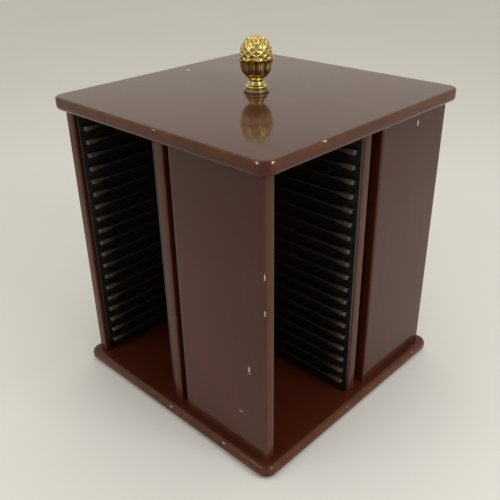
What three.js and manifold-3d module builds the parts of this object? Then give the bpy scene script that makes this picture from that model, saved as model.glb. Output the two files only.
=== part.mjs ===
// Rotating media tower: four walls and four dividers set like a pinwheel between two square boards,
// a slot rack on each side of every opening, a brass finial on top and a flat ball-bearing swivel
// in a recess underneath. Millimetres, +Z up, origin on the floor under the middle of the tower.
import * as THREE from 'three';
import { mergeVertices } from 'three/addons/utils/BufferGeometryUtils.js';
import Module from 'manifold-3d';

const wasm = await Module();
wasm.setup();

// Fits
const jointGap = 0.3;
const cutOverrun = 1;
const weldDistance = 0.001;

// Boards
const floorGap = 2.5;
const topSide = 325;
const topThickness = 15;
const topOverhang = 10.5;
const topCorner = 15;
const topUpperNosing = 2.5;
const topLowerNosing = 5.5;
const baseThickness = 13.5;
const baseProjection = 11.5;
const baseCorner = 13;
const baseUpperNosing = 6.5;
const baseLowerNosing = 4;
const wallHeight = 328.5;
const wallThickness = 13;
const wallArris = 2;
const dividerOffset = 1;
const dividerThickness = 13;
const dividerSetback = 3.6;
const panelGap = 13;

// Slot racks
const rackInset = 1;
const rackBackGap = 1.4;
const rackEndGap = 1;
const rackPlate = 3;
const ledgePitch = 16.13;
const firstLedge = 17.7;
const headroom = 12;
const ledgeSetback = 4.6;
const ledgeReach = 5.3;
const ledgeThickness = 2.1;
const noseTaper = 26;
const noseCorner = 3;
const noseRise = 1.2;
const noseDrop = 1.9;
const springRoot = 22;
const springLength = 10.5;
const springDrop = 6.4;
const springThickness = 1.1;
const springWidth = 3;

// Finial
const plinthRadius = 14.2;
const plinthHeight = 4;
const finialHeight = 57;
const finialRadius = 20.4;
const petalCount = 8;
const petalRelief = 1.1;
const studRadius = 3;
const studInBoard = 10;
const studInFinial = 16;

// Fasteners of the walls
const dowelRadius = 3;
const dowelInTop = 9;
const dowelInWall = 18;
const screwShank = 2;
const screwHead = 4.2;
const screwHeadDepth = 2.6;
const screwInWall = 28;
const wallFastenerInset = 22;
const dividerFastenerInset = 24;

// Swivel
const recessDepth = 8.5;
const recessClearance = 3;
const swivelHeight = 7.9;
const swivelPlateSide = 150;
const swivelPlateCorner = 9;
const swivelSheet = 1.2;
const swivelPressing = 1.4;
const raceRadius = 48;
const raceWidth = 6;
const raceSlope = 2.5;
const raceLanding = 4;
const rivetOuter = 9.4;
const rivetInner = 7.8;
const rivetFlange = 3;
const rivetSheet = 0.8;
const ballCount = 12;
const retainerWidth = 9;
const retainerThickness = 1.2;
const swivelScrewInset = 9;
const swivelScrewShank = 1.7;
const swivelScrewHead = 3.4;
const swivelScrewCrown = 2.6;
const swivelScrewHeadHeight = 1.5;
const swivelScrewBite = 3.6;

// Feet
const footRadius = 10.5;
const footInset = 20;
const footNeck = 2.6;
const footBulb = 3.6;
const footBulbHeight = 1.3;
const footEdge = 0.7;

// Facets
const cornerSteps = 4;
const nosingSteps = 3;
const arrisSteps = 2;
const noseSteps = 1;
const holeSides = 8;
const ballSides = 6;
const recessSides = 36;
const raceSides = 24;
const finialSides = 32;
const plinthSides = 24;
const footSides = 12;
const rivetSides = 16;

// Levels and lines that follow from the sizes above
const quarterTurn = Math.PI / 2;
const fullTurn = Math.PI * 2;
const baseTop = floorGap + baseThickness;
const topUnderside = baseTop + wallHeight;
const topFace = topUnderside + topThickness;
const bodyHalf = topSide / 2 - topOverhang;
const baseSide = (bodyHalf + baseProjection) * 2;
const openingStart = wallThickness - bodyHalf;
const openingEnd = -dividerOffset;
const dividerFar = openingEnd + dividerThickness;
const panelStart = dividerFar + panelGap;
const pocketBack = -dividerFar;
const wallLow = baseTop + jointGap;
const wallHigh = topUnderside - jointGap;
const rackFront = -bodyHalf + dividerSetback + rackInset;
const rackLength = pocketBack - rackBackGap - rackFront;
const ledgeCount = Math.floor((wallHeight - firstLedge - headroom) / ledgePitch) + 1;
const recessTop = floorGap + recessDepth;
const swivelTop = recessTop - jointGap;
const swivelBottom = swivelTop - swivelHeight;
const recessRadius = swivelPlateSide * Math.SQRT1_2 + recessClearance;

const finishes = {
  mahogany: new THREE.MeshStandardMaterial({ color: 0x4d1f14, roughness: 0.22, metalness: 0 }),
  rackPlastic: new THREE.MeshStandardMaterial({ color: 0x151312, roughness: 0.35, metalness: 0 }),
  brass: new THREE.MeshStandardMaterial({ color: 0xb8923f, roughness: 0.22, metalness: 1 }),
  zincSteel: new THREE.MeshStandardMaterial({ color: 0xb4b7b8, roughness: 0.35, metalness: 1 }),
  beech: new THREE.MeshStandardMaterial({ color: 0xc9a777, roughness: 0.7, metalness: 0 }),
  rubber: new THREE.MeshStandardMaterial({ color: 0x1c1c1c, roughness: 0.8, metalness: 0 }),
};

// Volume inside a triangle mesh, negative when its faces point inwards
function signedVolume(positions, triangles) {
  const corners = [new THREE.Vector3(), new THREE.Vector3(), new THREE.Vector3()];
  let total = 0;
  for (let i = 0; i < triangles.length; i += corners.length) {
    corners.forEach((corner, n) => corner.fromArray(positions, triangles[i + n] * corners.length));
    total += corners[0].dot(corners[1].clone().cross(corners[2]));
  }
  return total;
}

// A closed three.js geometry as a solid, with its faces turned outwards
function solidFrom(geometry) {
  const bare = new THREE.BufferGeometry();
  bare.setAttribute('position', geometry.getAttribute('position'));
  bare.setIndex(geometry.getIndex());
  const welded = mergeVertices(bare, weldDistance);
  const positions = welded.getAttribute('position').array;
  const index = welded.getIndex().array;
  const triangles = [];
  for (let i = 0; i < index.length; i += 3) {
    const [a, b, c] = index.slice(i, i + 3);
    if (a !== b && b !== c && c !== a) triangles.push(a, b, c);
  }
  if (signedVolume(positions, triangles) < 0) triangles.reverse();
  const vertProperties = Float32Array.from(positions);
  const triVerts = Uint32Array.from(triangles);
  return new wasm.Manifold(new wasm.Mesh({ numProp: 3, vertProperties, triVerts }));
}

function geometryFrom(solid) {
  const { vertProperties, triVerts, numProp } = solid.getMesh();
  const geometry = new THREE.BufferGeometry();
  geometry.setAttribute('position', new THREE.BufferAttribute(new Float32Array(vertProperties), numProp));
  geometry.setIndex(new THREE.BufferAttribute(new Uint32Array(triVerts), 1));
  geometry.computeVertexNormals();
  return geometry;
}

function piece(name, solid, finish) {
  const mesh = new THREE.Mesh(geometryFrom(solid), finish);
  mesh.name = name;
  return mesh;
}

// Points of an arc, both ends included
function arc(centreX, centreY, radius, from, to, steps) {
  const centre = new THREE.Vector2(centreX, centreY);
  const points = [];
  for (let i = 0; i <= steps; i += 1) {
    const angle = from + (to - from) * i / steps;
    const spoke = new THREE.Vector2(radius * Math.cos(angle), radius * Math.sin(angle));
    points.push(spoke.add(centre));
  }
  return points;
}

// Outline of a rectangle with round corners, anticlockwise, from its extents in X and in Y
function roundedOutline([x0, x1], [y0, y1], radius, steps) {
  const corners = [[x1, y0, -1], [x1, y1, 0], [x0, y1, 1], [x0, y0, 2]];
  return corners.flatMap(([x, y, turn]) => {
    const centreX = x === x0 ? x0 + radius : x1 - radius;
    const centreY = y === y0 ? y0 + radius : y1 - radius;
    return arc(centreX, centreY, radius, turn * quarterTurn, (turn + 1) * quarterTurn, steps);
  });
}

// Upright solid of an outline between two levels
function prism(outline, low, high) {
  const settings = { depth: high - low, bevelEnabled: false };
  const geometry = new THREE.ExtrudeGeometry(new THREE.Shape(outline), settings);
  return solidFrom(geometry.translate(0, 0, low));
}

// Turned solid about the Z axis from [radius, height] pairs
function turned(profile, sides) {
  const points = profile.map(([radius, height]) => new THREE.Vector2(radius, height));
  return new THREE.LatheGeometry(points, sides).rotateX(quarterTurn);
}

function rod(radius, low, high, sides) {
  return solidFrom(turned([[0, low], [radius, low], [radius, high], [0, high]], sides));
}

function rodAt(x, y, radius, low, high, sides) {
  return rod(radius, low, high, sides).translate([x, y, 0]);
}

// Closed body through level rings of equally many points, anticlockwise, the lowest ring first
function lofted(rings) {
  const count = rings[0].length;
  const last = (rings.length - 1) * count;
  const index = [];
  for (let low = 0; low < last; low += count) {
    const high = low + count;
    for (let i = 0; i < count; i += 1) {
      const next = (i + 1) % count;
      index.push(low + i, low + next, high + next, low + i, high + next, high + i);
    }
  }
  for (let i = 2; i < count; i += 1) {
    index.push(0, i, i - 1, last, last + i - 1, last + i);
  }
  const geometry = new THREE.BufferGeometry().setFromPoints(rings.flat());
  return solidFrom(geometry.setIndex(index));
}

// Square board with round corners, its edge rounded more or less below and above
function nosedBoard(side, corner, bottom, top, lowerNosing, upperNosing) {
  const lowerArc = arc(-lowerNosing, bottom + lowerNosing, lowerNosing, -quarterTurn, 0, nosingSteps);
  const upperArc = arc(-upperNosing, top - upperNosing, upperNosing, 0, quarterTurn, nosingSteps);
  const rings = [...lowerArc, ...upperArc].map(({ x: outward, y: level }) => {
    const extent = [-side / 2 - outward, side / 2 + outward];
    const outline = roundedOutline(extent, extent, corner + outward, cornerSteps);
    return outline.map(({ x, y }) => new THREE.Vector3(x, y, level));
  });
  return lofted(rings);
}

// The four copies of a place on the front face, one for each face of the tower
function aroundFaces(x, y) {
  return [[x, y], [-y, x], [-x, -y], [y, -x]];
}

const panelMiddleY = (wallThickness / 2) - bodyHalf;
const dividerMiddleX = openingEnd + dividerThickness / 2;

// Where the fasteners of one face's wall and divider stand
const panelFasteners = [
  [panelStart + wallFastenerInset, panelMiddleY],
  [bodyHalf - wallFastenerInset, panelMiddleY],
];
const dividerFasteners = [[dividerMiddleX, dividerSetback + dividerFastenerInset - bodyHalf]];
const faceFasteners = [...panelFasteners, ...dividerFasteners];
const allFasteners = faceFasteners.flatMap(([x, y]) => aroundFaces(x, y));

function topBoard() {
  const edges = [topLowerNosing, topUpperNosing];
  let board = nosedBoard(topSide, topCorner, topUnderside, topFace, ...edges);
  const dowelHole = dowelRadius + jointGap;
  const mouth = topUnderside - cutOverrun;
  const holeEnd = topUnderside + dowelInTop + jointGap;
  for (const [x, y] of allFasteners) {
    board = board.subtract(rodAt(x, y, dowelHole, mouth, holeEnd, holeSides));
  }
  const studBottom = topFace - studInBoard - jointGap;
  return board.subtract(rod(studRadius + jointGap, studBottom, topFace + cutOverrun, holeSides));
}

// Countersunk screw, or with a clearance the hole for it: a cone from its mouth, then the shank
function countersunk(mouth, tip, clearance) {
  const slope = (screwHead - screwShank) / screwHeadDepth;
  const widening = clearance * Math.hypot(1, slope);
  const mouthRadius = screwHead + widening + (floorGap + jointGap - mouth) * slope;
  const shank = screwShank + clearance;
  const coneTop = mouth + (mouthRadius - shank) / slope;
  const profile = [[0, mouth], [mouthRadius, mouth], [shank, coneTop], [shank, tip], [0, tip]];
  return solidFrom(turned(profile, holeSides));
}

function baseBoard() {
  const edges = [baseLowerNosing, baseUpperNosing];
  let board = nosedBoard(baseSide, baseCorner, floorGap, baseTop, ...edges);
  board = board.subtract(rod(recessRadius, floorGap - cutOverrun, recessTop, recessSides));
  const screwHole = countersunk(floorGap - cutOverrun, baseTop + cutOverrun, jointGap);
  for (const [x, y] of allFasteners) {
    board = board.subtract(screwHole.translate([x, y, 0]));
  }
  const pilot = swivelScrewShank + jointGap;
  const pilotTop = recessTop + swivelScrewBite;
  for (const [x, y] of swivelScrewPlaces) {
    board = board.subtract(rodAt(x, y, pilot, recessTop - cutOverrun, pilotTop, holeSides));
  }
  return board;
}

// A wall or divider with its fastener holes, from its outline on plan
function wall(outline, fasteners) {
  let board = prism(outline, wallLow, wallHigh);
  for (const [x, y] of fasteners) {
    const dowelEnd = topUnderside - dowelInWall - jointGap;
    const dowelHole = rodAt(x, y, dowelRadius + jointGap, dowelEnd, topUnderside, holeSides);
    const pilotEnd = baseTop + screwInWall + jointGap;
    const pilot = rodAt(x, y, screwShank + jointGap, baseTop, pilotEnd, holeSides);
    board = board.subtract(dowelHole).subtract(pilot);
  }
  return board;
}

function sidePanel() {
  const across = [panelStart, bodyHalf];
  const through = [-bodyHalf, wallThickness - bodyHalf];
  return wall(roundedOutline(across, through, wallArris, arrisSteps), panelFasteners);
}

// The divider's rounded front edge faces out of the opening, its square end meets the next divider
function divider() {
  const front = dividerSetback - bodyHalf;
  const back = openingEnd - jointGap;
  const roundY = front + wallArris;
  const outline = [
    ...arc(openingEnd + wallArris, roundY, wallArris, -2 * quarterTurn, -quarterTurn, arrisSteps),
    ...arc(dividerFar - wallArris, roundY, wallArris, -quarterTurn, 0, arrisSteps),
    new THREE.Vector2(dividerFar, back),
    new THREE.Vector2(openingEnd, back),
  ];
  return wall(outline, dividerFasteners);
}

// A body as wide as one stretch of the reach, from an outline of depths and heights
function crosscut(outline, start, width) {
  const settings = { depth: width, bevelEnabled: false };
  const geometry = new THREE.ExtrudeGeometry(new THREE.Shape(outline), settings);
  geometry.rotateX(quarterTurn).rotateZ(quarterTurn);
  return solidFrom(geometry.translate(start, 0, 0));
}

// One ledge of a rack, thicker towards its rounded front end, and the spring under it. X is the
// reach from the wall, Y the depth from the ledge's front end and Z the height over its run.
function ledge() {
  const root = rackPlate / 2;
  const edge = rackPlate + ledgeReach;
  const back = rackLength - ledgeSetback;
  const underNose = -ledgeThickness - noseDrop;
  const sideOutline = [
    new THREE.Vector2(0, underNose),
    new THREE.Vector2(noseTaper, -ledgeThickness),
    new THREE.Vector2(back, -ledgeThickness),
    new THREE.Vector2(back, 0),
    new THREE.Vector2(noseTaper, 0),
    new THREE.Vector2(0, noseRise),
  ];
  const planOutline = [
    new THREE.Vector2(root, 0),
    ...arc(edge - noseCorner, noseCorner, noseCorner, -quarterTurn, 0, noseSteps),
    new THREE.Vector2(edge, back),
    new THREE.Vector2(root, back),
  ];
  const side = crosscut(sideOutline, root, edge - root);
  return side.intersect(prism(planOutline, underNose, noseRise)).add(ledgeSpring());
}

// A leaf that springs from under the ledge, forwards and down
function ledgeSpring() {
  const root = -ledgeThickness / 2;
  const tip = springRoot - springLength;
  const tipTop = root - springDrop;
  const outline = [
    new THREE.Vector2(springRoot + springThickness, root),
    new THREE.Vector2(springRoot, root),
    new THREE.Vector2(tip, tipTop),
    new THREE.Vector2(tip, tipTop - springThickness),
  ];
  return crosscut(outline, rackPlate + ledgeReach - springWidth, springWidth);
}

// The whole moulding on its wall: a plate with its ledges
function rack() {
  const corners = [[0, 0], [rackPlate, 0], [rackPlate, rackLength], [0, rackLength]];
  const plateOutline = corners.map(([x, y]) => new THREE.Vector2(x, y));
  let moulding = prism(plateOutline, 0, wallHeight - rackEndGap * 2);
  const oneLedge = ledge();
  for (let i = 0; i < ledgeCount; i += 1) {
    const height = firstLedge - rackEndGap + ledgePitch * i;
    moulding = moulding.add(oneLedge.translate([0, ledgeSetback, height]));
  }
  return geometryFrom(moulding);
}

// The two racks of the front opening, on the left wall and, mirrored, on the divider
function frontRacks(face, moulding) {
  const left = moulding.clone().translate(openingStart + jointGap, rackFront, baseTop + rackEndGap);
  const mirrored = moulding.clone().scale(-1, 1, 1);
  const right = mirrored.translate(openingEnd - jointGap, rackFront, baseTop + rackEndGap);
  return [
    piece(`rack_${face}_left`, solidFrom(left), finishes.rackPlastic),
    piece(`rack_${face}_right`, solidFrom(right), finishes.rackPlastic),
  ];
}

// Radius and height of the casting's outline, as shares of its greatest radius and of its height
const finialRingShares = [
  [0.54, 0], [0.6, 0.02], [0.61, 0.044], [0.42, 0.062], [0.41, 0.078], [0.48, 0.09],
  [0.47, 0.115], [0.39, 0.13], [0.38, 0.16],
];
const finialCupShares = [
  [0.42, 0.195], [0.6, 0.235], [0.76, 0.3], [0.86, 0.4], [0.91, 0.49], [1, 0.565], [0.91, 0.605],
];
const acornRadiusShare = 0.84;
const acornMiddleShare = 0.64;
const acornSteps = 5;

function finialProfile() {
  const profile = [[0, 0]];
  for (const [radiusShare, heightShare] of [...finialRingShares, ...finialCupShares]) {
    profile.push([radiusShare * finialRadius, heightShare * finialHeight]);
  }
  const acornMiddle = finialHeight * acornMiddleShare;
  for (let i = 0; i <= acornSteps; i += 1) {
    const angle = quarterTurn * i / acornSteps;
    const radius = i < acornSteps ? Math.cos(angle) * finialRadius * acornRadiusShare : 0;
    profile.push([radius, acornMiddle + Math.sin(angle) * (finialHeight - acornMiddle)]);
  }
  return profile;
}

// How strongly the petals show at a height: nothing on the rings and the acorn, most at the cup's rim
function petalStrength(height) {
  const low = finialCupShares[0][1] * finialHeight;
  const high = finialCupShares[finialCupShares.length - 1][1] * finialHeight;
  const share = (height - low) / (high - low);
  return share > 0 && share < 1 ? Math.sin(share * Math.PI) : 0;
}

function finial() {
  const bottom = topFace + jointGap + plinthHeight + jointGap;
  const geometry = turned(finialProfile(), finialSides);
  const position = geometry.getAttribute('position');
  for (let i = 0; i < position.count; i += 1) {
    const x = position.getX(i);
    const y = position.getY(i);
    const radius = Math.hypot(x, y);
    const wave = Math.abs(Math.cos(Math.atan2(y, x) * petalCount / 2));
    const relief = petalRelief * petalStrength(position.getZ(i)) * (1 - wave);
    const shrink = radius > 0 ? (radius - relief) / radius : 1;
    position.setXY(i, x * shrink, y * shrink);
  }
  const casting = solidFrom(geometry).translate([0, 0, bottom]);
  const boreEnd = bottom + studInFinial + jointGap;
  return casting.subtract(rod(studRadius + jointGap, bottom - cutOverrun, boreEnd, holeSides));
}

function finialPlinth() {
  const bottom = topFace + jointGap;
  const top = bottom + plinthHeight;
  const step = plinthHeight / 4;
  const profile = [
    [studRadius + jointGap, bottom],
    [plinthRadius, bottom],
    [plinthRadius, top - step * 2],
    [plinthRadius - step, top - step],
    [plinthRadius - step * 2, top - step],
    [plinthRadius - step * 3, top],
    [studRadius + jointGap, top],
    [studRadius + jointGap, bottom],
  ];
  return solidFrom(turned(profile, plinthSides));
}

function finialStud() {
  const tip = topFace + plinthHeight + jointGap * 2 + studInFinial;
  return rod(studRadius, topFace - studInBoard, tip, holeSides);
}

const swivelHalf = swivelPlateSide / 2;
const swivelScrewPlaces = aroundFaces(0, swivelScrewInset - swivelHalf);
const footPlaces = aroundFaces(swivelHalf - footInset, footInset - swivelHalf);
const pressedEdge = raceRadius + raceWidth / 2 + raceLanding;

// A stamped swivel plate: square, with a pressed-in middle and a ball race pressed back out around it.
// Level is the plate's outer face and outward is +1 on the upper plate, -1 on the lower one.
function swivelPlate(level, outward, holes) {
  const inner = level - outward * swivelSheet;
  const pressed = level - outward * swivelPressing;
  const pressedInner = pressed - outward * swivelSheet;
  const raceStart = raceRadius - raceWidth / 2;
  const hole = rivetOuter + jointGap;
  const profile = [
    [hole, pressed],
    [raceStart - raceSlope, pressed],
    [raceStart, level],
    [pressedEdge + raceSlope, level],
    [pressedEdge + raceSlope, inner],
    [raceStart + swivelSheet / 2, inner],
    [raceStart - raceSlope + swivelSheet / 2, pressedInner],
    [hole, pressedInner],
    [hole, pressed],
  ];
  const extent = [-swivelHalf, swivelHalf];
  const outline = roundedOutline(extent, extent, swivelPlateCorner, arrisSteps);
  const low = Math.min(level, inner);
  const high = Math.max(level, inner);
  const cutLow = low - cutOverrun;
  const cutHigh = high + cutOverrun;
  let plate = prism(outline, low, high).subtract(rod(pressedEdge, cutLow, cutHigh, raceSides));
  plate = plate.add(solidFrom(turned(profile, raceSides)));
  for (const [x, y, radius] of holes) {
    plate = plate.subtract(rodAt(x, y, radius, cutLow, cutHigh, holeSides));
  }
  return plate;
}

function swivelUpperPlate() {
  const holes = swivelScrewPlaces.map(([x, y]) => [x, y, swivelScrewShank + jointGap]);
  return swivelPlate(swivelTop, 1, holes);
}

function swivelLowerPlate() {
  const holes = footPlaces.map(([x, y]) => [x, y, footNeck + jointGap]);
  return swivelPlate(swivelBottom, -1, holes);
}

// Hollow rivet that keeps the two plates together and lets the upper one turn
function swivelRivet() {
  const low = swivelBottom + swivelPressing - rivetSheet - jointGap;
  const high = swivelTop - swivelPressing + rivetSheet + jointGap;
  const flange = rivetOuter + rivetFlange;
  const profile = [
    [rivetInner, low],
    [flange, low],
    [flange, low + rivetSheet],
    [rivetOuter, low + rivetSheet],
    [rivetOuter, high - rivetSheet],
    [flange, high - rivetSheet],
    [flange, high],
    [rivetInner, high],
    [rivetInner, low],
  ];
  return solidFrom(turned(profile, rivetSides));
}

// The balls in their flat retainer
function ballRing() {
  const middle = (swivelTop + swivelBottom) / 2;
  const ballRadius = swivelHeight / 2 - swivelSheet - jointGap;
  const halfWidth = retainerWidth / 2;
  const low = middle - retainerThickness / 2;
  const high = middle + retainerThickness / 2;
  const profile = [
    [raceRadius - halfWidth, low],
    [raceRadius + halfWidth, low],
    [raceRadius + halfWidth, high],
    [raceRadius - halfWidth, high],
    [raceRadius - halfWidth, low],
  ];
  let ring = solidFrom(turned(profile, ballCount * 2));
  for (let i = 0; i < ballCount; i += 1) {
    const angle = fullTurn * i / ballCount;
    const ball = solidFrom(new THREE.SphereGeometry(ballRadius, ballSides, ballSides / 2 + 1));
    ring = ring.add(ball.translate([raceRadius * Math.cos(angle), raceRadius * Math.sin(angle), middle]));
  }
  return ring;
}

// Pan-head screw up through the upper plate into the base board
function swivelScrew([x, y]) {
  const seat = swivelTop - swivelSheet - jointGap;
  const tip = recessTop + swivelScrewBite - jointGap;
  const profile = [
    [0, seat - swivelScrewHeadHeight],
    [swivelScrewCrown, seat - swivelScrewHeadHeight],
    [swivelScrewHead, seat],
    [swivelScrewShank, seat],
    [swivelScrewShank, tip],
    [0, tip],
  ];
  return solidFrom(turned(profile, holeSides)).translate([x, y, 0]);
}

// Push-in rubber foot: pad below the lower plate, neck through it and a bulb above that holds it
function foot([x, y]) {
  const padTop = swivelBottom - jointGap;
  const bulbLow = swivelBottom + swivelSheet + jointGap;
  const profile = [
    [0, 0],
    [footRadius - footEdge, 0],
    [footRadius, footEdge],
    [footRadius, padTop],
    [footNeck, padTop],
    [footNeck, bulbLow],
    [footBulb, bulbLow],
    [footNeck, bulbLow + footBulbHeight],
    [0, bulbLow + footBulbHeight],
  ];
  return solidFrom(turned(profile, footSides)).translate([x, y, 0]);
}

const tower = new THREE.Group();
tower.add(piece('base_board', baseBoard(), finishes.mahogany));
tower.add(piece('top_board', topBoard(), finishes.mahogany));

// The pieces of one face, turned round to all four
const moulding = rack();
const screw = countersunk(floorGap + jointGap, baseTop + screwInWall, 0);
const dowel = rod(dowelRadius, topUnderside - dowelInWall, topUnderside + dowelInTop, holeSides);
['front', 'right', 'back', 'left'].forEach((face, turn) => {
  const side = new THREE.Group();
  side.rotation.z = turn * quarterTurn;
  side.add(piece(`side_panel_${face}`, sidePanel(), finishes.mahogany));
  side.add(piece(`divider_${face}`, divider(), finishes.mahogany));
  side.add(...frontRacks(face, moulding));
  faceFasteners.forEach(([x, y], i) => {
    side.add(piece(`base_screw_${face}_${i + 1}`, screw.translate([x, y, 0]), finishes.zincSteel));
    side.add(piece(`top_dowel_${face}_${i + 1}`, dowel.translate([x, y, 0]), finishes.beech));
  });
  side.add(piece(`bearing_screw_${face}`, swivelScrew(swivelScrewPlaces[0]), finishes.zincSteel));
  side.add(piece(`foot_${face}`, foot(footPlaces[0]), finishes.rubber));
  tower.add(side);
});

tower.add(piece('bearing_upper_plate', swivelUpperPlate(), finishes.zincSteel));
tower.add(piece('bearing_lower_plate', swivelLowerPlate(), finishes.zincSteel));
tower.add(piece('bearing_rivet', swivelRivet(), finishes.zincSteel));
tower.add(piece('ball_ring', ballRing(), finishes.zincSteel));
tower.add(piece('finial_plinth', finialPlinth(), finishes.brass));
tower.add(piece('finial', finial(), finishes.brass));
tower.add(piece('finial_stud', finialStud(), finishes.zincSteel));

export default tower;
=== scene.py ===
# Finished surfaces of a rotating media tower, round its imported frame, with its studio and camera.
# Metres, +Z up, the front face looks towards -Y.
import math
from contextlib import contextmanager

import bmesh
import bpy
from mathutils import Matrix, Vector


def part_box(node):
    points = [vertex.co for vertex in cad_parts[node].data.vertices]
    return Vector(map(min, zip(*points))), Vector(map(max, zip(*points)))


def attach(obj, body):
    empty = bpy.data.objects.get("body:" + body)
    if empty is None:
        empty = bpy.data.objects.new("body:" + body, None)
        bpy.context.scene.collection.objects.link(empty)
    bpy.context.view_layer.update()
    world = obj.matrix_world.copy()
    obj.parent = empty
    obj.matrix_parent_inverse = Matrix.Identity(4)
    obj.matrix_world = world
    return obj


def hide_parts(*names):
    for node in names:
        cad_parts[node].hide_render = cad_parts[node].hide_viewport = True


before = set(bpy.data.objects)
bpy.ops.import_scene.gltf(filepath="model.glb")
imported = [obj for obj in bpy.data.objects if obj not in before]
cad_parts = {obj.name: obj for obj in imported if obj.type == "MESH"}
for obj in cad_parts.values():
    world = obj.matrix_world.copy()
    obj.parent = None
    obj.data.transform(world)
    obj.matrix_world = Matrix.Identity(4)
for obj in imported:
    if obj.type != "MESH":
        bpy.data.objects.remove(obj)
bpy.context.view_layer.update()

MM = 0.001
QUARTER = math.pi / 2
FACES = ("front", "right", "back", "left")

# Boards and walls
TOP_CORNER = 15 * MM
TOP_UPPER_EDGE = 2.5 * MM
TOP_LOWER_EDGE = 5.5 * MM
BASE_CORNER = 13 * MM
BASE_UPPER_EDGE = 6.5 * MM
BASE_LOWER_EDGE = 4 * MM
WALL_ARRIS = 2 * MM
CORNER_STEPS = 12
EDGE_STEPS = 8
ARRIS_STEPS = 5
FIELD_INSET = 3 * MM
LEAST_BOARD_FIELD = 0.01
LEAST_WALL_FIELD = 0.02
RUBBED_MOST = 0.9
RUBBED_DEPTH = 9 * MM
RUBBED_BORDER = 0.8
RUBBED_ARRIS = 1.6

# Slot racks
RACK_PLATE = 3 * MM
LEDGE_COUNT = 19
LEDGE_PITCH = 16.13 * MM
FIRST_LEDGE = 16.7 * MM
LEDGE_SETBACK = 4.6 * MM
LEDGE_REACH = 5.3 * MM
LEDGE_THICKNESS = 2.1 * MM
LEDGE_ROUND = 0.95 * MM
NOSE_LENGTH = 8 * MM
NOSE_TAPER = 20 * MM
NOSE_CORNER = 3 * MM
NOSE_RISE = 1.2 * MM
NOSE_DROP = 1.9 * MM
SPRING_ROOT = 22 * MM
SPRING_LENGTH = 10.5 * MM
SPRING_DROP = 6.4 * MM
SPRING_WIDTH = 3 * MM
SPRING_THICKNESS = 1.1 * MM
SPRING_ROUND = 0.3 * MM
SPRING_SLICES = 6
PLATE_ROUND = 0.6 * MM
TAPER_SLICES = 4
SHARP = math.radians(50)

# How pale the ledge lips are painted: dust, and painted light from the opening with a painted highlight on
# the outer rim
LIP_FOOT = 0.4 * MM
LIP_BREADTH = 1.6 * MM
LIP_NOSE = 4 * MM
LIP_LENGTH = 22 * MM
LIP_RIM_SHARE = 0.14
LIP_NOSE_SHARE = 0.36
LIP_FADE = 0.6

# Finial, its heights counted from the casting's foot
PETALS = 8
PETAL_TURN = math.radians(-37.15)
PETAL_HALF = math.radians(20.8)
PETAL_STEPS = 8
PETAL_RIM = 0.5 * MM
PETAL_GROOVE = 0.55 * MM
PETAL_GROOVE_DEPTH = 1.3 * MM
CASTING_WALL = 1.3 * MM
ACORN_WALL = 1.2 * MM
LOZENGE_SWELL = 0.6 * MM
LOZENGE_CUTS = ((0.35 * MM, 0), (0.6 * MM, -0.55 * MM), (1.0 * MM, -0.1 * MM))
CUP_START = 8
CUP_STEP = 0.9
CUP_LEVELS = 28
ACORN_FOOT = 34.5
PETAL_FOOT = 9
HOLLOW_GAIN = 0.8
STUD_HOLE = 3.3
SPIN_STEPS = 96

# Swivel and screws
RECESS_DEPTH = 8.5 * MM
RECESS_CLEARANCE = 3 * MM
SWIVEL_CORNER = 9 * MM
SWIVEL_ROUND = 0.25 * MM
SWIVEL_SHEET = 1.2
SWIVEL_PRESSING = 1.4
RACE_RADIUS = 48
RACE_WIDTH = 6
RACE_SLOPE = 2.5
RACE_LANDING = 4
RIVET_OUTER = 9.4
RIVET_INNER = 7.8
RIVET_FLANGE = 12.4
RIVET_PLAY = 0.3
RIVET_HALF_SHEET = 0.4
SEAT_RADII = (5.2 * MM, 2.3 * MM)
SEAT_DEPTH = 3.2 * MM
SEAT_MIDDLE = 1.4 * MM
FOOT_NECK = 2.6
FOOT_BULB = 3.6
FOOT_GAP = 0.3
SCREW_SHANK = 2
CROSS_HALF_LENGTH = 2.3
CROSS_HALF_WIDTH = 0.45
CROSS_DEPTH = 1.4

# Camera: lens in mm on a 36 mm sensor, angles in degrees
CAMERA_PLACE = Vector((0.49665, -0.52611, 0.54596))
CAMERA_AZIMUTH = 44.17
CAMERA_PITCH = 28.15
CAMERA_ROLL = -1.05
CAMERA_LENS = 46.9
SENSOR = 36


# Selecting and shaping

SELECT_MODES = {"verts": "VERT", "edges": "EDGE", "faces": "FACE"}


def deselect():
    bpy.ops.object.select_all(action="DESELECT")


def activate(piece):
    deselect()
    piece.select_set(True)
    bpy.context.view_layer.objects.active = piece


@contextmanager
def editing(piece):
    """Edit mode on a piece."""
    activate(piece)
    bpy.ops.object.mode_set(mode="EDIT")
    yield
    bpy.ops.object.mode_set(mode="OBJECT")


def pick(piece, kind, test):
    """Selects the vertices, edges or faces that pass the test, and nothing else."""
    bpy.ops.mesh.select_mode(type=SELECT_MODES[kind])
    bpy.ops.mesh.select_all(action="DESELECT")
    mesh = bmesh.from_edit_mesh(piece.data)
    for part in getattr(mesh, kind):
        if test(part):
            part.select = True
    mesh.select_flush_mode()
    bmesh.update_edit_mesh(piece.data)


def pick_all():
    bpy.ops.mesh.select_all(action="SELECT")


def shift(piece, test, step):
    """Moves the corners that pass the test."""
    pick(piece, "verts", test)
    bpy.ops.transform.translate(value=step)


def near(a, b):
    return abs(a - b) < 1e-6


def block(name, low, high):
    """A box between two corners, its place in its mesh."""
    deselect()
    middle = (Vector(low) + Vector(high)) / 2
    bpy.ops.mesh.primitive_cube_add(size=1, location=middle)
    piece = bpy.context.object
    piece.name = name
    piece.data.name = name
    piece.scale = Vector(high) - Vector(low)
    bpy.ops.object.transform_apply(location=True, rotation=True, scale=True)
    return piece


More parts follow.
